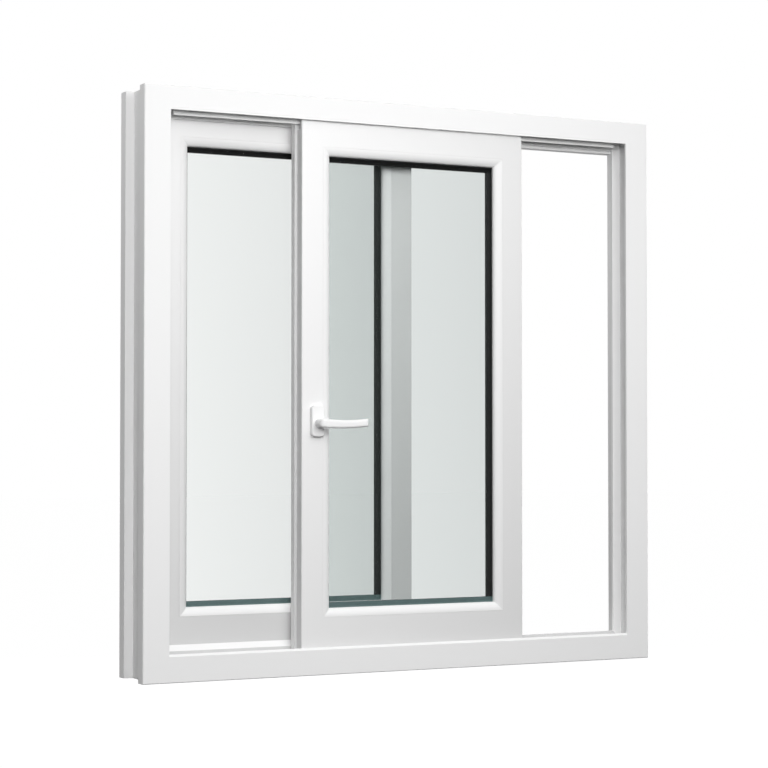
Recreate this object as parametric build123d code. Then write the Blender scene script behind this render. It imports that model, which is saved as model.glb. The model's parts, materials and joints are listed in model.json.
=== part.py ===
from build123d import *
from math import atan2, cos, pi, sin
import os

os.makedirs("parts", exist_ok=True)

# Frame of reference: millimetres, +X right, +Y away from the room, +Z up.
# Z = 0 is the seat under the sill, Y = 0 the middle of the frame depth, X = 0 the middle of its width.

# Outer frame
FRAME_W = 1200.0          # over the front flange
FRAME_H = 1200.0          # over the front flange
FRAME_D = 110.0           # front face to rear face
FLANGE_D = 28.0           # depth of the front flange
FLANGE_LAP = 5.0          # flange beyond the waist at head and sill
FLANGE_EDGE = 1.5         # bevel on the flange's front edges
WAIST_IN = 9.0            # waist inside the flange at the jambs
RIB_OUT = 10.0            # rear rib beyond the flange at the jambs
RIB_D = 27.0              # depth of the rear rib
JAMB_FACE = 56.0          # visible width of the jambs
HEAD_FACE = 48.0          # visible height of the head
SILL_FACE = 57.0          # visible height of the sill, nose included
SILL_NOSE = 4.5           # bevel along the sill's front edge
LIP_T = 6.0               # thickness of the front lip
FIN_T = 6.0               # thickness of the middle fin
JAMB_CHANNEL = 20.0       # front channel depth into the jambs
HEAD_FLOOR = 34.0         # front channel floor below the flange top
SILL_FLOOR = 38.0         # front channel floor above the flange bottom
FIN_HEAD = 58.0           # fin edge below the flange top
FIN_SILL = 58.0           # fin edge above the flange bottom
SILL_BEAD_H = 12.0        # sloped bead on the sill fin, before the fixed panel
SILL_BEAD_TOP = 1.0       # its flat top edge
REBATE_JAMB = 32.0        # rear rebate floor from the flange side
REBATE_HEAD = 29.0        # rear rebate floor below the flange top
REBATE_SILL = 50.0        # rear rebate floor above the flange bottom

# Panels
RUN_GAP = 5.0             # clearance of the sliding panel to the frame
LIP_OUT = 6.0             # rear part of a panel stands out this far
LIP_START = 24.0          # depth at which that step begins
PANEL_EDGE = 1.2          # bevel on the panel's front edges
STILE = 49.0              # stile face
FIXED_LEFT_STILE = 62.0   # left stile face of the fixed panel, reaching into the rebate
TOP_RAIL = 55.0           # top rail face
BOTTOM_RAIL = 68.5        # bottom rail face
FIXED_SHARE = 635.0 / 1200.0   # fixed panel's right edge as a share of the frame width
OVERLAP = 11.0            # the panels overlap this far when closed
OPEN_BY = 273.0           # sliding panel stands open by this much
SLIDE_BOTTOM = 50.0       # sliding panel, lower edge above the flange bottom
SLIDE_TOP = 46.0          # sliding panel, upper edge below the flange top
FIXED_X0 = 40.0           # fixed panel, left edge from the flange side
FIXED_BOTTOM = 58.5       # fixed panel, lower edge above the flange bottom
FIXED_TOP = 37.5          # fixed panel, upper edge below the flange top
FIXED_GAP = 1.0           # fixed panel behind the fin
STRIP_D = 7.0             # retaining strip behind the fixed panel
SASH_D = (FRAME_D - LIP_T - FIN_T - 2 * RUN_GAP - FIXED_GAP - STRIP_D) / 2   # panel depth
GROOVE_V0 = 9.0           # groove along the rail edges, from the panel face
GROOVE_V1 = 23.0
TOP_GROOVE = 20.0         # groove depth in the top rail
BOTTOM_GROOVE = 22.0      # groove depth in the bottom rail

# Glazing
BEAD = 18.0               # glazing bead width
BEAD_DEEP = 12.0          # depth of the bead's rounded front
BEAD_NOSE = 8.0           # radius of the rounding next to the glass
BEAD_END = 14.0           # depth of the bead's back
GASKET_END = 15.5         # gasket between bead and glass
GASKET_SHOW = 2.5         # gasket seen inside the bead, not at the left
PANE = 4.0                # glass thickness
SPACER_D = 7.0            # gap between the panes
SPACER_SHOW = 11.0        # spacer seen inside the bead
SPACER_LEFT = 4.0         # the same at the left, where the glass sits further behind the bead
EDGE_COVER = 10.0         # glass edge behind the bead
FIT = 0.2                 # small gap round glass and beads

# Track, guide and rollers
TRACK_T = 4.0
TRACK_H = 7.0
TRACK_END = 4.0           # track stops this far from the jamb face
GUIDE_T = 4.0
GUIDE_EDGE = 55.0         # lower edge of the head guide below the flange top
GUIDE_END = 16.0          # guide stops this far from the jamb face
WHEEL_R = 8.0
WHEEL_T = 5.0
WHEEL_GAP = 0.3
AXLE_R = 2.0
AXLE_GAP = 0.3
CARRIAGE_L = 60.0
CARRIAGE_T = 12.0
CHEEK_T = 2.8
CARRIAGE_ROOF = 4.0
CHEEK_Z = 50.0            # lower edge of the cheeks above the flange bottom
CARRIAGE_INSET = 90.0     # carriage centre from the panel edge

# Covers in the empty half of the rear rebate
COVER_HEAD = 64.0         # lower edge of the head cover below the flange top
COVER_LAP = 3.0           # head cover reaches this far beside the rear rib
COVER_JAMB_D = 14.0
COVER_GAP = 2.0           # head cover to the fixed panel

# Retaining strips behind the fixed panel
STRIP_W = 16.0
STRIP_GAP = 0.5

# Handle
ROSETTE_W = 30.0
ROSETTE_H = 66.0
ROSETTE_T = 11.0
ROSETTE_R = 9.0
ROSETTE_RISE = 4.5        # plate middle above the handle axis
ROSETTE_EDGE = 3.0
HANDLE_X = 33.5           # handle axis from the sliding panel's left edge
HANDLE_Z = 521.5          # handle axis above the flange bottom
NECK_R = 9.0              # half width of the neck
NECK_L = 32.0             # neck and lever in front of the plate
NECK_GAP = 0.3
ELBOW_OUT = 14.0          # outer bend from neck to lever
ELBOW_IN = 6.0            # inner bend
LEVER_L = 102.0
LEVER_T = 12.0
LEVER_MID = 36.0          # where the lever is lowest
LEVER_TOP = (9.0, 6.4, 9.4)        # upper edge at the neck, the low place and the tip
LEVER_LOW = (-10.0, -11.2, -7.2)   # lower edge at the same places
LEVER_BACK = 2.0          # tip bends back towards the panel
LEVER_ROUND = 5.5         # rounding of the lever's front edges
LEVER_BEVEL = 2.0         # bevel of its rear edges
LEVER_EDGE = 5.0          # depth within which the front edges lie
TURN = 0.7071             # cosine and sine of half a right angle

Y_FRONT = -FRAME_D / 2
Z_LOW = -FLANGE_LAP
Z_HIGH = FRAME_H - FLANGE_LAP
X_LEFT = -FRAME_W / 2
X_RIGHT = FRAME_W / 2
FAR = 2 * FRAME_D

Y_SLIDE = Y_FRONT + LIP_T + RUN_GAP
Y_FIN = Y_SLIDE + SASH_D + RUN_GAP
Y_REBATE = Y_FIN + FIN_T
Y_FIXED = Y_REBATE + FIXED_GAP
Y_REAR = Y_FRONT + FRAME_D
Z_TOP = Z_HIGH - FLANGE_LAP
STOP_V = GASKET_END + 2 * PANE + SPACER_D
COVER_HEAD_D = Y_REAR - RIB_D + COVER_LAP - Y_REBATE

F_X0, F_X1 = X_LEFT + FIXED_X0, X_LEFT + FIXED_SHARE * FRAME_W
CLOSED_X1 = X_RIGHT - JAMB_FACE + JAMB_CHANNEL - RUN_GAP - LIP_OUT
S_X1 = CLOSED_X1 - OPEN_BY
S_X0 = S_X1 - (CLOSED_X1 - F_X1 + OVERLAP)


def block(x0, x1, y0, y1, z0, z1):
    """Box between two corners."""
    return Pos((x0 + x1) / 2, (y0 + y1) / 2, (z0 + z1) / 2) * Box(x1 - x0, y1 - y0, z1 - z0)


def prism_xz(points, y0, y1):
    """Polygon in X and Z, carried from y0 to y1."""
    face = make_face(Polyline(*[(x, y0, z) for x, z in points], close=True))
    return extrude(face, amount=y1 - y0, dir=(0, 1, 0))


def prism_yz(points, x0, x1):
    """Polygon in Y and Z, carried from x0 to x1."""
    face = make_face(Polyline(*[(x0, y, z) for y, z in points], close=True))
    return extrude(face, amount=x1 - x0, dir=(1, 0, 0))


def prism_xy(points, z0, z1):
    """Polygon in X and Y, carried from z0 to z1."""
    face = make_face(Polyline(*[(x, y, z0) for x, y in points], close=True))
    return extrude(face, amount=z1 - z0, dir=(0, 0, 1))


def quarters(outer, inner):
    """Four mitred regions between an outer and an inner rectangle, each reaching past both."""
    ox0, ox1, oz0, oz1 = outer
    ix0, ix1, iz0, iz1 = inner

    def line(o, i):
        return (2 * o[0] - i[0], 2 * o[1] - i[1]), (2 * i[0] - o[0], 2 * i[1] - o[1])

    lb, rb = line((ox0, oz0), (ix0, iz0)), line((ox1, oz0), (ix1, iz0))
    lt, rt = line((ox0, oz1), (ix0, iz1)), line((ox1, oz1), (ix1, iz1))
    shapes = {
        "bottom": [lb[0], rb[0], rb[1], lb[1]],
        "top": [lt[0], rt[0], rt[1], lt[1]],
        "left": [lb[0], lt[0], lt[1], lb[1]],
        "right": [rb[0], rt[0], rt[1], rb[1]],
    }
    return {k: prism_xz(v, -FAR, FAR) for k, v in shapes.items()}


def save(shape, name):
    solids = shape.solids()
    shape = solids[0] if len(solids) == 1 else Compound(children=list(solids))
    export_step(shape, "parts/" + name + ".step")


def front_edges(shape, y):
    """Edges lying in the plane y, facing the room."""
    return [e for e in shape.edges() if all(abs(v.Y - y) < FIT for v in e.vertices())]


# Outer frame as one ring, then cut along the mitres
ring = block(X_LEFT, X_RIGHT, Y_FRONT, Y_FRONT + FLANGE_D, Z_LOW, Z_HIGH)
ring = chamfer(front_edges(ring, Y_FRONT), FLANGE_EDGE)
ring += block(X_LEFT + WAIST_IN, X_RIGHT - WAIST_IN, Y_FRONT + FLANGE_D, Y_REAR - RIB_D, 0, Z_TOP)
ring -= block(X_LEFT + JAMB_FACE, X_RIGHT - JAMB_FACE, -FAR, Y_FRONT + LIP_T,
              Z_LOW + SILL_FACE, Z_HIGH - HEAD_FACE)
ring -= block(X_LEFT + JAMB_FACE - JAMB_CHANNEL, X_RIGHT - JAMB_FACE + JAMB_CHANNEL,
              Y_FRONT + LIP_T, Y_FIN, Z_LOW + SILL_FLOOR, Z_HIGH - HEAD_FLOOR)
ring -= block(X_LEFT + JAMB_FACE, X_RIGHT - JAMB_FACE, Y_FIN, Y_REBATE,
              Z_LOW + FIN_SILL, Z_HIGH - FIN_HEAD)
ring -= block(X_LEFT + REBATE_JAMB, X_RIGHT - REBATE_JAMB, Y_REBATE, FAR,
              Z_LOW + REBATE_SILL, Z_HIGH - REBATE_HEAD)
# Bright nose along the sill's front edge
nose_z = Z_LOW + SILL_FACE
ring -= prism_yz([(Y_FRONT, nose_z - SILL_NOSE), (Y_FRONT, nose_z), (Y_FRONT + SILL_NOSE, nose_z)],
                 X_LEFT + JAMB_FACE, X_RIGHT - JAMB_FACE)

cuts = quarters((X_LEFT, X_RIGHT, Z_LOW, Z_HIGH),
                (X_LEFT + JAMB_FACE, X_RIGHT - JAMB_FACE, Z_LOW + SILL_FACE, Z_HIGH - HEAD_FACE))
bar = block(X_LEFT + REBATE_JAMB, X_RIGHT - REBATE_JAMB, Y_REAR - RIB_D, Y_REAR, 0, Z_TOP)
bar -= block(-FRAME_W, FRAME_W, -FAR, FAR, Z_LOW + REBATE_SILL, Z_HIGH - REBATE_HEAD)
low_bar, high_bar = bar.solids().sort_by(Axis.Z)
save((ring & cuts["top"]) + high_bar, "frame_head")
save((ring & cuts["bottom"]) + low_bar, "frame_sill")
save(ring & cuts["left"], "frame_left_jamb")
save(ring & cuts["right"], "frame_right_jamb")

# Rear ribs along both jambs
save(block(X_LEFT - RIB_OUT, X_LEFT + REBATE_JAMB, Y_REAR - RIB_D, Y_REAR, 0, Z_TOP), "rear_rib_left")
save(block(X_RIGHT - REBATE_JAMB, X_RIGHT + RIB_OUT, Y_REAR - RIB_D, Y_REAR, 0, Z_TOP), "rear_rib_right")

# Sloped bead on the sill fin, in front of the fixed panel
bead_z = Z_LOW + FIN_SILL
save(prism_yz([(Y_FIN, bead_z), (Y_FIXED, bead_z), (Y_FIXED, bead_z + SILL_BEAD_H),
               (Y_FIXED - SILL_BEAD_TOP, bead_z + SILL_BEAD_H)],
              X_LEFT + JAMB_FACE, F_X1), "fixed_sill_bead")

# Covers in the empty half of the rear rebate
save(block(F_X1 + COVER_GAP, X_RIGHT - REBATE_JAMB, Y_REBATE, Y_REBATE + COVER_HEAD_D,
           Z_HIGH - COVER_HEAD, Z_HIGH - REBATE_HEAD), "rear_cover_head")
save(block(X_RIGHT - JAMB_FACE, X_RIGHT - REBATE_JAMB, Y_REBATE, Y_REBATE + COVER_JAMB_D,
           Z_LOW + REBATE_SILL, Z_HIGH - COVER_HEAD), "rear_cover_jamb")

# Track on the sill and guide under the head, in line with the panel's grooves
Y_RUN = Y_SLIDE + (GROOVE_V0 + GROOVE_V1) / 2
track_half = FRAME_W / 2 - JAMB_FACE - TRACK_END
guide_half = FRAME_W / 2 - JAMB_FACE - GUIDE_END
save(block(-track_half, track_half, Y_RUN - TRACK_T / 2, Y_RUN + TRACK_T / 2,
           Z_LOW + SILL_FLOOR, Z_LOW + SILL_FLOOR + TRACK_H), "sill_track")
save(block(-guide_half, guide_half, Y_RUN - GUIDE_T / 2, Y_RUN + GUIDE_T / 2,
           Z_HIGH - GUIDE_EDGE, Z_HIGH - HEAD_FLOOR), "head_guide")


def moulding(place, run):
    """Glazing bead: front rounded in two arcs towards the glass, carried along run."""
    flat = BEAD - BEAD_NOSE - FIT
    wide = (flat ** 2 + BEAD_DEEP ** 2 - BEAD_NOSE ** 2) / (2 * (BEAD_DEEP - BEAD_NOSE))
    meet = atan2(flat, wide - BEAD_DEEP)

    def on_wide(turn):
        return place(FIT + wide * sin(turn), wide - wide * cos(turn))

    def on_nose(turn):
        return place(BEAD - BEAD_NOSE + BEAD_NOSE * sin(turn), BEAD_DEEP - BEAD_NOSE * cos(turn))

    outline = ThreePointArc(on_wide(0), on_wide(meet / 2), on_wide(meet))
    outline += ThreePointArc(on_nose(meet), on_nose((meet + pi / 2) / 2), on_nose(pi / 2))
    outline += Polyline(on_nose(pi / 2), place(BEAD, BEAD_END), place(FIT, BEAD_END), on_wide(0))
    return extrude(make_face(outline), amount=run.length, dir=run.normalized())


def panel(prefix, x0, x1, z0, z1, y0, left_face):
    """One glazed panel: mitred rails and stiles, beads, gasket, spacer and two panes."""
    fx0, fx1 = x0 + left_face, x1 - STILE
    fz0, fz1 = z0 + BOTTOM_RAIL, z1 - TOP_RAIL
    sx0, sx1, sz0, sz1 = fx0 + BEAD, fx1 - BEAD, fz0 + BEAD, fz1 - BEAD
    body = block(x0, x1, y0, y0 + SASH_D, z0, z1)
    body = chamfer(front_edges(body, y0), PANEL_EDGE)
    body += block(x0 - LIP_OUT, x1 + LIP_OUT, y0 + LIP_START, y0 + SASH_D, z0 - LIP_OUT, z1 + LIP_OUT)
    body -= block(fx0, fx1, -FAR, y0 + STOP_V, fz0, fz1)
    body -= block(sx0, sx1, -FAR, FAR, sz0, sz1)
    body -= block(x0 - FAR, x1 + FAR, y0 + GROOVE_V0, y0 + GROOVE_V1, z1 - TOP_GROOVE, z1 + FAR)
    body -= block(fx0, fx1, y0 + GROOVE_V0, y0 + GROOVE_V1, z0 - FAR, z0 + BOTTOM_GROOVE)
    parts = quarters((x0, x1, z0, z1), (fx0, fx1, fz0, fz1))
    for side, name in (("top", "top_rail"), ("bottom", "bottom_rail"),
                       ("left", "left_stile"), ("right", "right_stile")):
        save(body & parts[side], prefix + "_" + name)

    # Glazing beads, cut along the mitres
    along, rise = Vector(fx1 - fx0, 0, 0), Vector(0, 0, fz1 - fz0)
    beads = {
        "left": moulding(lambda u, v: (fx0 + u, y0 + v, fz0), rise),
        "right": moulding(lambda u, v: (fx1 - u, y0 + v, fz0), rise),
        "bottom": moulding(lambda u, v: (fx0, y0 + v, fz0 + u), along),
        "top": moulding(lambda u, v: (fx0, y0 + v, fz1 - u), along),
    }
    inside = block(fx0 + FIT, fx1 - FIT, -FAR, FAR, fz0 + FIT, fz1 - FIT)
    mitres = quarters((fx0, fx1, fz0, fz1), (sx0, sx1, sz0, sz1))
    for side, bead in beads.items():
        save(bead & inside & mitres[side], prefix + "_bead_" + side)

    gx0, gx1 = fx0 + BEAD - EDGE_COVER, fx1 - BEAD + EDGE_COVER
    gz0, gz1 = fz0 + BEAD - EDGE_COVER, fz1 - BEAD + EDGE_COVER
    gasket = block(gx0, gx1, y0 + BEAD_END, y0 + GASKET_END, gz0, gz1)
    gasket -= block(sx0, sx1 - GASKET_SHOW, -FAR, FAR, sz0 + GASKET_SHOW, sz1 - GASKET_SHOW)
    save(gasket, prefix + "_gasket")
    y_in = y0 + GASKET_END
    save(block(gx0, gx1, y_in, y_in + PANE, gz0, gz1), prefix + "_inner_pane")
    spacer = block(gx0, gx1, y_in + PANE, y_in + PANE + SPACER_D, gz0, gz1)
    spacer -= block(sx0 + SPACER_LEFT, sx1 - SPACER_SHOW, -FAR, FAR, sz0 + SPACER_SHOW, sz1 - SPACER_SHOW)
    save(spacer, prefix + "_spacer")
    save(block(gx0, gx1, y_in + PANE + SPACER_D, y0 + STOP_V, gz0, gz1), prefix + "_outer_pane")


S_Z0, S_Z1 = Z_LOW + SLIDE_BOTTOM, Z_HIGH - SLIDE_TOP
F_Z0, F_Z1 = Z_LOW + FIXED_BOTTOM, Z_HIGH - FIXED_TOP
panel("sliding", S_X0, S_X1, S_Z0, S_Z1, Y_SLIDE, STILE)
panel("fixed", F_X0, F_X1, F_Z0, F_Z1, Y_FIXED, FIXED_LEFT_STILE)

# Retaining strips that hold the fixed panel in the rear rebate
strip_y0, strip_y1 = Y_FIXED + SASH_D, Y_REAR
rx0, rz0, rz1 = X_LEFT + REBATE_JAMB, Z_LOW + REBATE_SILL, Z_HIGH - REBATE_HEAD
save(block(rx0, rx0 + STRIP_W, strip_y0, strip_y1, rz0 + STRIP_W + STRIP_GAP, rz1 - STRIP_W - STRIP_GAP),
     "fixed_strip_left")
save(block(rx0, F_X1, strip_y0, strip_y1, rz1 - STRIP_W, rz1), "fixed_strip_top")
save(block(rx0, F_X1, strip_y0, strip_y1, rz0, rz0 + STRIP_W), "fixed_strip_bottom")

# Roller carriages in the groove of the bottom rail
track_z = Z_LOW + SILL_FLOOR + TRACK_H
wheel_z = track_z + WHEEL_GAP + WHEEL_R
groove_z = S_Z0 + BOTTOM_GROOVE
for tag, cx in (("left", S_X0 + CARRIAGE_INSET), ("right", S_X1 - CARRIAGE_INSET)):
    half = CARRIAGE_L / 2
    body = block(cx - half, cx + half, Y_RUN - CARRIAGE_T / 2, Y_RUN + CARRIAGE_T / 2,
                 Z_LOW + CHEEK_Z, groove_z)
    body -= block(cx - FAR, cx + FAR, Y_RUN - CARRIAGE_T / 2 + CHEEK_T, Y_RUN + CARRIAGE_T / 2 - CHEEK_T,
                  Z_LOW, groove_z - CARRIAGE_ROOF)
    axle = Pos(cx, Y_RUN, wheel_z) * Rot(90, 0, 0) * Cylinder(AXLE_R, CARRIAGE_T)
    save(body + axle, "roller_carriage_" + tag)
    wheel = Cylinder(WHEEL_R, WHEEL_T) - Cylinder(AXLE_R + AXLE_GAP, WHEEL_T)
    save(Pos(cx, Y_RUN, wheel_z) * Rot(90, 0, 0) * wheel, "roller_wheel_" + tag)

# Handle: base plate on the left stile, lever with its neck
hx, hz = S_X0 + HANDLE_X, Z_LOW + HANDLE_Z
plate = extrude(RectangleRounded(ROSETTE_W, ROSETTE_H, ROSETTE_R), amount=ROSETTE_T)
plate = fillet(plate.faces().sort_by(Axis.Z)[-1].edges(), ROSETTE_EDGE)
save(Pos(hx, Y_SLIDE, hz + ROSETTE_RISE) * Rot(90, 0, 0) * plate, "handle_rosette")
neck_y = Y_SLIDE - ROSETTE_T - NECK_GAP


def plan(u, d):
    """Point u along the lever and d in front of the plate, seen from above."""
    return (hx + u, neck_y - d, hz - FAR / 2)


def rise(u, w):
    """Point u along the lever and w above the handle axis, seen from the room."""
    return (hx + u, neck_y - NECK_L, hz + w)


inner_d = NECK_L - LEVER_T
out_u, out_d = ELBOW_OUT - NECK_R, NECK_L - ELBOW_OUT
in_u, in_d = NECK_R + ELBOW_IN, inner_d - ELBOW_IN
outline = Polyline(plan(NECK_R, 0), plan(-NECK_R, 0), plan(-NECK_R, out_d))
outline += ThreePointArc(plan(-NECK_R, out_d), plan(out_u - ELBOW_OUT * TURN, out_d + ELBOW_OUT * TURN),
                         plan(out_u, NECK_L))
outline += Polyline(plan(out_u, NECK_L), plan(LEVER_L, NECK_L - LEVER_BACK),
                    plan(LEVER_L, inner_d - LEVER_BACK), plan(in_u, inner_d))
outline += ThreePointArc(plan(in_u, inner_d), plan(in_u - ELBOW_IN * TURN, in_d + ELBOW_IN * TURN),
                         plan(NECK_R, in_d))
outline += Line(plan(NECK_R, in_d), plan(NECK_R, 0))
from_above = extrude(make_face(outline), amount=FAR, dir=(0, 0, 1))

front = ThreePointArc(rise(0, LEVER_TOP[0]), rise(LEVER_MID, LEVER_TOP[1]), rise(LEVER_L, LEVER_TOP[2]))
front += Line(rise(LEVER_L, LEVER_TOP[2]), rise(LEVER_L, LEVER_LOW[2]))
front += ThreePointArc(rise(LEVER_L, LEVER_LOW[2]), rise(LEVER_MID, LEVER_LOW[1]), rise(0, LEVER_LOW[0]))
front += ThreePointArc(rise(0, LEVER_LOW[0]), rise(-NECK_R, 0), rise(0, LEVER_TOP[0]))
from_room = extrude(make_face(front), amount=NECK_L, dir=(0, 1, 0))

lever = from_above & from_room
front_y = neck_y - NECK_L + LEVER_EDGE
rear = [e for e in lever.edges() if e.length > LEVER_L / 2 and e.center().Y > front_y]
lever = chamfer(rear, LEVER_BEVEL)
soft = [e for e in lever.edges() if e.center().Y < front_y and e.center().X > hx - NECK_R / 2]
save(fillet(soft, LEVER_ROUND), "handle_lever")
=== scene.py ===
import json
import math

import bpy
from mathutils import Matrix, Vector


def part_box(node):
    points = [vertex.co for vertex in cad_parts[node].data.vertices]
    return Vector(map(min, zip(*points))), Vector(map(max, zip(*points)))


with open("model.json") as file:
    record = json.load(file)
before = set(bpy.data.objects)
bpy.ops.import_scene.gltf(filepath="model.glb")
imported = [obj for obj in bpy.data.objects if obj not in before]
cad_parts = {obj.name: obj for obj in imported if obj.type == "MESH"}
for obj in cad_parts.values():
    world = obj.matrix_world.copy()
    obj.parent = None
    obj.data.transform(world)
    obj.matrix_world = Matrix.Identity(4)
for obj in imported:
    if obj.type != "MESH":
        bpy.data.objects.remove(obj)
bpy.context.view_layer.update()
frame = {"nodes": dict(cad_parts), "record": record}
nodes = frame["nodes"]

# Sizes that the finishes follow, in metres
RUN_GAP = 0.005         # clearance of the sliding panel in its channel
PANEL_BEVEL = 0.002     # behind the bevel of a panel's front edges
PANEL_STEP = 0.024      # depth at which a panel's rear part steps out
EDGE_BAR = 0.021        # height of the dark glazing bar, with what the bead covers
PAST = 0.0001           # just past a face

# Studio, with lengths in metres
FLOOR_SIZE = 40.0
FLOOR_PLACE = (0.0, 6.0, -0.30)
FLOOR_GLOW = 0.935
SKY_STOPS = [(0.0, 0.02), (0.42, 0.03), (0.56, 0.14), (1.0, 0.62)]   # from straight down to straight up
SKY_STRENGTH = 1.22     # before the window; behind it up to 1 more

# Camera
PHOTO_WIDTH = 768.0     # pixels
FOCAL_LENGTH = 2108.3   # pixels
SENSOR_WIDTH = 36.0     # millimetres
CAMERA_PLACE = (-2.0685, -4.0166, 0.4695)
CAMERA_RISE = 1.677     # degrees above level
CAMERA_TURN = -26.841   # degrees from looking along +Y, to the right


def x_span(left_node, right_node):
    """From the left side of one piece to the right side of another."""
    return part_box(left_node)[0][0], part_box(right_node)[1][0]


# Places, read from the frame
PANELS = ("fixed", "sliding")
frame_span = x_span("frame_sill", "frame_sill")
panel_span = {panel: x_span(f"{panel}_left_stile", f"{panel}_right_stile") for panel in PANELS}
pane_span = {panel: x_span(f"{panel}_inner_pane", f"{panel}_inner_pane") for panel in PANELS}
panel_front, panel_back = (corner[1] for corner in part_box("sliding_left_stile"))
behind_lip = panel_front - RUN_GAP + PAST
fin_face = panel_back + RUN_GAP


class Sock:
    """A shader socket; an expression on it adds Math nodes."""

    def __init__(self, tree, socket):
        self.tree, self.socket = tree, socket

    def _math(self, operation, a, b):
        n = self.tree.nodes.new("ShaderNodeMath")
        n.operation = operation
        for slot, value in zip(n.inputs, (a, b)):
            if isinstance(value, Sock):
                self.tree.links.new(value.socket, slot)
            else:
                slot.default_value = value
        return Sock(self.tree, n.outputs[0])

    def __add__(self, other):
        return self._math("ADD", self, other)

    def __radd__(self, other):
        return self._math("ADD", other, self)

    def __sub__(self, other):
        return self._math("SUBTRACT", self, other)

    def __rsub__(self, other):
        return self._math("SUBTRACT", other, self)

    def __mul__(self, other):
        return self._math("MULTIPLY", self, other)

    def __rmul__(self, other):
        return self._math("MULTIPLY", other, self)

    def __lt__(self, other):
        return self._math("LESS_THAN", self, other)

    def __gt__(self, other):
        return self._math("GREATER_THAN", self, other)


class Shading:
    """A node tree; node() adds one node from its type, settings and sockets."""

    def __init__(self, tree, output):
        self.tree = tree
        tree.nodes.clear()
        self.out = tree.nodes.new(output)

    def node(self, kind, settings=None, out=0, **sockets):
        """Base_Color names the socket Base Color, and i2 the third one; out is an output's name or place."""
        n = self.tree.nodes.new("ShaderNode" + kind)
        for key, value in (settings or {}).items():
            if key == "stops":
                while len(n.color_ramp.elements) < len(value):
                    n.color_ramp.elements.new(0.5)
                for stop, (place, grey) in zip(n.color_ramp.elements, value):
                    stop.position, stop.color = place, (grey, grey, grey, 1.0)
            else:
                setattr(n, key, value)
        for key, value in sockets.items():
            slot = n.inputs[int(key[1:])] if key[1:].isdigit() else n.inputs[key.replace("_", " ")]
            if isinstance(value, Sock):
                self.tree.links.new(value.socket, slot)
            else:
                slot.default_value = value
        return Sock(self.tree, n.outputs[out])

    def place(self):
        return self.node("TexCoord", out="Object")

    def along(self, axis):
        """The place along X, Y or Z."""
        return self.node("SeparateXYZ", out=axis, Vector=self.place())

    def across(self, span):
        """0 at the left end of a span along X, 1 at its right end."""
        left, right = span
        return (self.along("X") - left) * (1.0 / (right - left))

    def noise(self, scale, detail=2.0, at=None):
        return self.node("TexNoise", Vector=at or self.place(), Scale=scale, Detail=detail)

    def rays(self, *kinds):
        """1 on rays of the named kinds."""
        first, *others = [self.node("LightPath", out=f"Is {kind} Ray") for kind in kinds]
        return sum(others, first)

    def seen(self):
        """1 for what the camera, a reflection or the glass looks at."""
        return self.rays("Camera", "Glossy", "Transmission")

    def close(self, shader):
        self.tree.links.new(shader.socket, self.out.inputs["Surface"])


def finish(name):
    mat = bpy.data.materials.new(name)
    mat.use_nodes = True
    return mat, Shading(mat.node_tree, "ShaderNodeOutputMaterial")


def white_plastic(name, painted_tone_run, span, low=1.0, rough=0.42, grain=700.0, edge=None):
    """White profile with painted light and shade: its tone runs from left to right over a span, and to its
    share low at the foot.
    Between the two depths of edge, as in a channel or on a panel's side, it has only a share of that tone, as
    painted shade."""
    mat, f = finish(name)
    cloud, fine = f.noise(2.2), f.noise(grain, 3.0)
    left, right = painted_tone_run
    share = f.node("Clamp", Value=f.across(span))
    foot = f.node("Clamp", Value=1.0 - f.along("Z"))
    # painted light and shade: the tone run from left to right and the share at the foot
    tone = (left + share * (right - left)) * (1.0 - foot * (1.0 - low)) - cloud * 0.012
    if edge:
        front, back, painted_shade_share = edge
        depth = f.along("Y")
        # painted shade in a channel or on a panel's side, between the two depths
        tone = tone * (1.0 - (depth > front) * (depth < back) * (1.0 - painted_shade_share))
    bump = f.node("Bump", Strength=0.05, Distance=0.0004, Height=fine)
    f.close(f.node("BsdfPrincipled", Base_Color=tone, Roughness=rough + cloud * 0.08, Normal=bump,
                   Specular_IOR_Level=0.3))
    return mat


def frame_plastic(name, edge=None):
    # painted light: the frame white is a little lighter to the right and at the foot
    return white_plastic(name, (0.850, 0.875), frame_span, low=1.05, edge=edge)


def pane_glass(name, left, right, span):
    """Clear glass whose tint deepens from left to right as painted shade; it tints what is seen and lets the
    light pass.
    """
    mat, f = finish(name)
    left_tint_glass, right_shaded_glass = (f.node("BsdfRefraction", Color=(*tint, 1.0), Roughness=0.0, IOR=1.0)
                 for tint in (left, right))
    # painted shade: the tint deepens from left to right
    clear = f.node("MixShader", i0=f.across(span) + f.noise(1.5) * 0.06, i1=left_tint_glass, i2=right_shaded_glass)
    gloss = f.node("BsdfPrincipled", Base_Color=(0.55, 0.66, 0.63, 1.0), Roughness=0.02)
    pane = f.node("MixShader", i0=f.node("Fresnel", IOR=1.5) * 0.12, i1=clear, i2=gloss)
    f.close(f.node("MixShader", i0=f.rays("Shadow", "Diffuse"), i1=pane, i2=f.node("BsdfTransparent")))
    return mat


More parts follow.
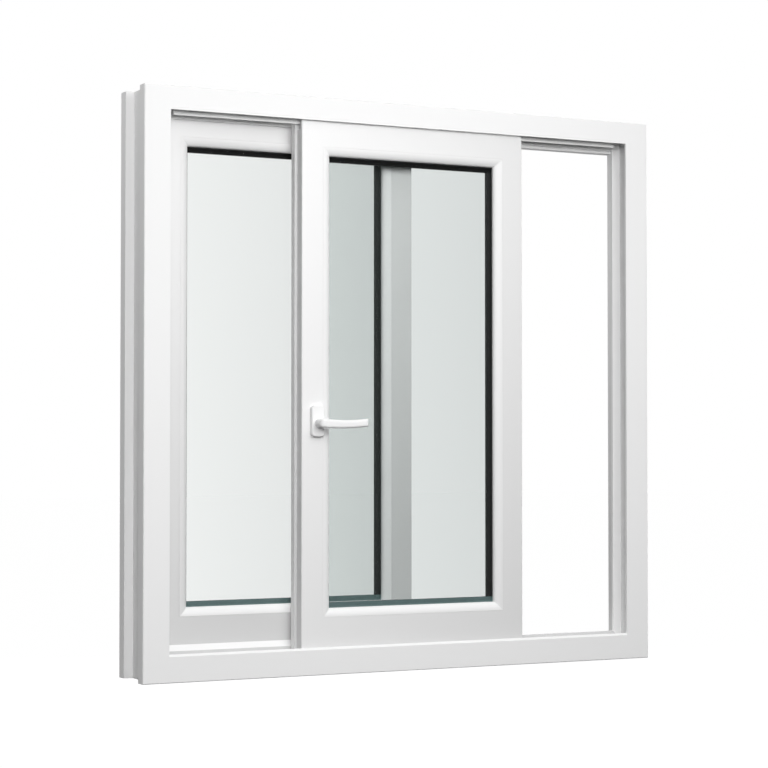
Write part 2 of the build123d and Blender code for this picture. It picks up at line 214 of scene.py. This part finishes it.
def dark_edge(name, spacer):
    """Black glazing edge; the top bar is painted darker as shade, and the lower bar is painted a lighter
    blue-green as light from above.
    """
    mat, f = finish(name)
    height, fine = f.along("Z"), f.noise(500.0)
    low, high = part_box(spacer)
    side_black, shaded_top_black, lit_blue_green = 0.025, 0.005, (0.119, 0.178, 0.177, 1.0)
    # painted shade: the top bar is darker than the sides
    black = side_black - (height > high[2] - EDGE_BAR - PAST) * (side_black - shaded_top_black)
    # painted light: the lower bar is a lighter blue-green
    tint = f.node("Mix", {"data_type": "RGBA"}, out=2, i0=height < low[2] + EDGE_BAR - PAST, i6=black,
                  i7=lit_blue_green)
    bump = f.node("Bump", Strength=0.1, Distance=0.0003, Height=fine)
    f.close(f.node("BsdfPrincipled", Base_Color=tint, Roughness=0.5 + fine * 0.1, Normal=bump,
                   Specular_IOR_Level=0.15))
    return mat


def track_metal(name):
    mat, f = finish(name)
    line = f.noise(1.0, at=f.node("Mapping", Vector=f.place(), Scale=(4.0, 900.0, 900.0)))
    bump = f.node("Bump", Strength=0.1, Distance=0.0002, Height=line)
    f.close(f.node("BsdfPrincipled", Base_Color=(0.80, 0.81, 0.82, 1.0), Metallic=1.0,
                   Roughness=0.3 + line * 0.15, Normal=bump))
    return mat


def roller_nylon(name):
    mat, f = finish(name)
    fine = f.noise(300.0)
    f.close(f.node("BsdfPrincipled", Base_Color=(0.55, 0.55, 0.54, 1.0), Roughness=0.5 + fine * 0.1))
    return mat


# The finishes of the window's pieces
finishes = {
    "white_plastic": frame_plastic("window_white"),
    "handle_plastic": white_plastic("handle_white", (0.896, 0.896), frame_span, rough=0.25, grain=900.0),
    "track_aluminium": track_metal("track_metal"),
    "roller_plastic": roller_nylon("roller_nylon"),
}
frame_white_painted_shade = {
    "fixed_sill_bead": finishes["white_plastic"],
    # painted shade: the sill's channel is greyer
    "frame_sill": frame_plastic("sill_channel_shaded_white", edge=(behind_lip, fin_face + PAST, 0.74)),
    # painted shade: the right jamb's channel is greyer
    "frame_right_jamb": frame_plastic("right_jamb_channel_shaded_white", edge=(behind_lip, fin_face - PAST, 0.86)),
    # painted shade: the jamb cover darkens towards its foot
    "rear_cover_jamb": white_plastic("jamb_cover_foot_shaded_white", (0.92, 0.92), frame_span, low=0.62),
}
# Painted shade: the set-back fixed panel is greyer, both panels darken to the right and towards the foot, and
# the sliding panel's side is darker
panel_white_painted_shade = {
    "fixed": white_plastic("fixed_panel_shaded_white", (0.832, 0.738), panel_span["fixed"], low=0.82, rough=0.44),
    "sliding": white_plastic("sliding_panel_shaded_white", (0.886, 0.784), panel_span["sliding"], low=0.95,
                             edge=(panel_front + PANEL_BEVEL, panel_front + PANEL_STEP + PAST, 0.84)),
}
# Painted light and shade: the upward-facing bottom beads are lighter, the other beads run lighter or darker
# from left to right and darker towards the foot
bead_painted_light_and_shade = {
    "fixed": white_plastic("fixed_bead_shaded_white", (0.825, 0.862), panel_span["fixed"], low=0.90),
    "sliding": white_plastic("sliding_bead_shaded_white", (0.902, 0.836), panel_span["sliding"], low=0.97),
    "bottom": white_plastic("bottom_bead_lit_white", (0.895, 0.895), frame_span),
}
panel_glass = {
    "fixed": pane_glass("fixed_glass", (0.9658, 0.9708, 0.9683), (0.9254, 0.9314, 0.9298),
                        pane_span["fixed"]),
    "sliding": pane_glass("sliding_glass", (0.9407, 0.9508, 0.9484), (0.9079, 0.9176, 0.9156),
                          pane_span["sliding"]),
}
panel_edge = {
    "fixed": dark_edge("fixed_glass_edge", "fixed_spacer"),
    "sliding": dark_edge("sliding_glass_edge", "sliding_spacer"),
}


def finish_of(name, slot):
    """The finish of a piece: by its slot, and by its name where its panel or place has its own painted light
    and shade.
    """
    panel = name.split("_")[0]
    if slot == "clear_glass":
        return panel_glass[panel]
    if slot in ("black_rubber", "black_spacer"):
        return panel_edge[panel]
    if name in frame_white_painted_shade:
        return frame_white_painted_shade[name]
    if "_bead_" in name:
        return bead_painted_light_and_shade["bottom" if name.endswith("bottom") else panel]
    if slot == "white_plastic" and panel in panel_white_painted_shade:
        return panel_white_painted_shade[panel]
    return finishes[slot]


for sub in frame["record"]["subparts"]:
    mesh = nodes[sub["node"]].data
    mesh.materials.clear()
    mesh.materials.append(finish_of(sub["node"], sub["material_slot"]))


# Floor: pale where it is seen, dim where it would throw light up at the window
bpy.ops.mesh.primitive_plane_add(size=FLOOR_SIZE, location=FLOOR_PLACE)
floor = bpy.context.object
floor.name = "studio_floor"
mat, f = finish("studio_floor")
pale = f.node("AddShader", i0=f.node("Emission", Color=(1.0, 1.0, 1.0, 1.0), Strength=FLOOR_GLOW),
              i1=f.node("BsdfDiffuse", Color=(0.10, 0.10, 0.10, 1.0)))
dim = f.node("BsdfDiffuse", Color=(0.06, 0.06, 0.06, 1.0))
f.close(f.node("MixShader", i0=f.seen(), i1=dim, i2=pale))
floor.data.materials.append(mat)

# Sky: white where it is seen; its light is dim from below, bright from above, brighter from behind
world = bpy.data.worlds.new("studio")
bpy.context.scene.world = world
world.use_nodes = True
w = Shading(world.node_tree, "ShaderNodeOutputWorld")
aim = w.node("TexCoord", out="Generated")
away, up = (w.node("SeparateXYZ", out=axis, Vector=aim) for axis in ("Y", "Z"))
behind = w.node("Math", {"operation": "MAXIMUM"}, i0=away, i1=0.0)
sky = w.node("ValToRGB", {"stops": SKY_STOPS}, Fac=up * 0.5 + 0.5)
w.close(w.node("MixShader", i0=w.seen(), i1=w.node("Background", Color=sky, Strength=behind + SKY_STRENGTH),
               i2=w.node("Background", Color=(1.0, 1.0, 1.0, 1.0), Strength=1.0)))


def soft_lamp(name, place, aim, size, power):
    """A round lamp that lights the window and is not itself seen, through the glass either."""
    data = bpy.data.lights.new(name, "AREA")
    data.shape, data.size, data.energy = "DISK", size, power
    lamp = bpy.data.objects.new(name, data)
    bpy.context.scene.collection.objects.link(lamp)
    lamp.visible_camera = lamp.visible_transmission = False
    lamp.location = place
    dx, dy, dz = (a - p for a, p in zip(aim, place))
    lamp.rotation_euler = (math.atan2(math.hypot(dx, dy), -dz), 0.0, math.atan2(dy, dx) - math.pi / 2)


# Lamps: key before the window, fill beside the camera, a weak one at the left side, and one behind
soft_lamp("key", place=(0.2, -2.0, 1.5), aim=(0.1, 0.0, 0.9), size=1.4, power=21.4)
soft_lamp("fill", place=(-1.4, -3.2, 1.4), aim=(-0.3, 0.0, 0.7), size=1.2, power=54.5)
soft_lamp("side", place=(-1.2, 0.15, 1.6), aim=(-0.6, 0.0, 0.9), size=0.5, power=1.5)
soft_lamp("back", place=(0.9, 3.2, 0.6), aim=(0.0, 0.0, 0.6), size=1.4, power=38.0)

# Camera at the photograph's place
view = bpy.data.cameras.new("photo_view")
view.sensor_fit, view.sensor_width = "HORIZONTAL", SENSOR_WIDTH
view.lens = FOCAL_LENGTH * SENSOR_WIDTH / PHOTO_WIDTH
camera = bpy.data.objects.new("photo_view", view)
bpy.context.scene.collection.objects.link(camera)
camera.location = CAMERA_PLACE
camera.rotation_euler = (math.radians(90.0 + CAMERA_RISE), 0.0, math.radians(CAMERA_TURN))
bpy.context.scene.camera = camera
bpy.context.scene.view_settings.view_transform = "Standard"
